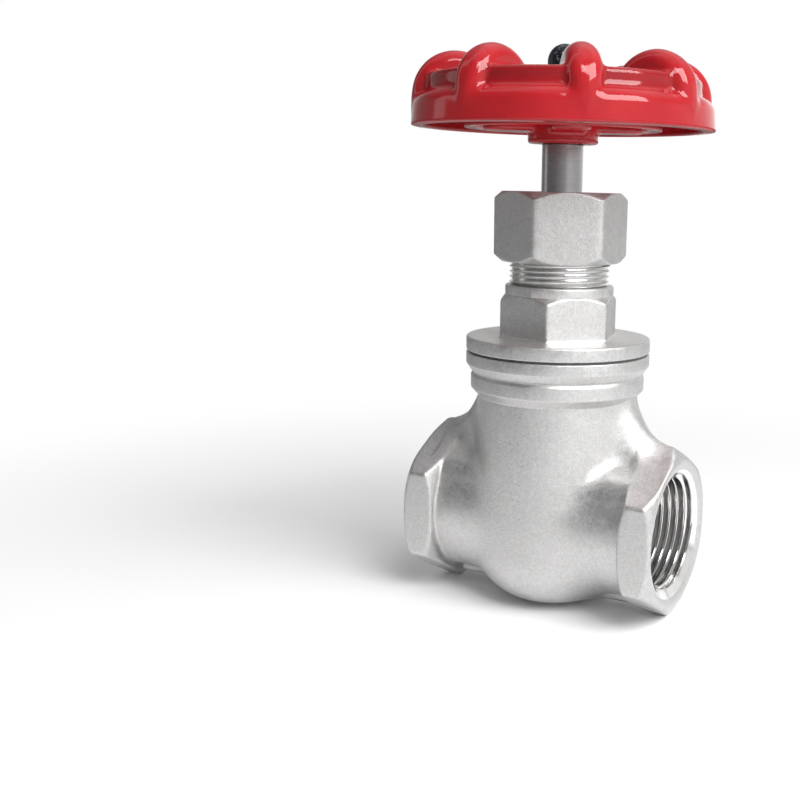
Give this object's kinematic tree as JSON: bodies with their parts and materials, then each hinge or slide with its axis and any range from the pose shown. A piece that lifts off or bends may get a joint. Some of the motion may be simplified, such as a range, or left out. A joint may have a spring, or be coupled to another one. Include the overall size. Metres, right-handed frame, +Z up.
{
  "type": "threaded gate valve",
  "caption": "Stainless screwed-end gate valve with hexagonal ends, screwed bonnet, non-rising stem, hexagonal gland nut and a lobed red handwheel.",
  "frame": {"origin": "on the run axis in the inlet port, where its full thread begins, just inside the end face", "axes": "+X along the run from inlet to outlet, +Z up the stem, +Y to the left looking along the flow"},
  "size_m": [0.064, 0.064, 0.121],
  "materials": {
    "cast_stainless": "blasted investment casting, satin",
    "turned_stainless": "turned, bright",
    "ptfe": "PTFE, white for the packing rings and dark filled for the gasket",
    "red_enamel": "glossy red enamel",
    "dark_steel": "black oxide"
  },
  "bodies": {
    "valve": {"body": "cast_stainless", "bonnet": "cast_stainless", "bonnet_gasket": "ptfe", "gland_nut": "cast_stainless", "gland": "turned_stainless", "packing_washer": "turned_stainless", "packing_ring_lower": "ptfe", "packing_ring_middle": "ptfe", "packing_ring_upper": "ptfe"},
    "stem_and_wheel": {"stem": "turned_stainless", "handwheel": "red_enamel", "wheel_washer": "turned_stainless", "wheel_nut": "dark_steel"},
    "gate": {"wedge": "cast_stainless"}
  },
  "joints": [
    {"name": "stem_turn", "type": "hinge", "parent": "valve", "child": "stem_and_wheel", "pos_m": [0.0284, 0, 0.05], "axis": [0, 0, 1], "range_deg": [0, 2640]},
    {"name": "gate_slide", "type": "slide", "parent": "valve", "child": "gate", "axis": [0, 0, 1], "range_m": [0, 0.022]}
  ],
  "couplings": [
    {"joint": "gate_slide", "follows": "stem_turn", "m_per_rad": 0.00047746}
  ]
}
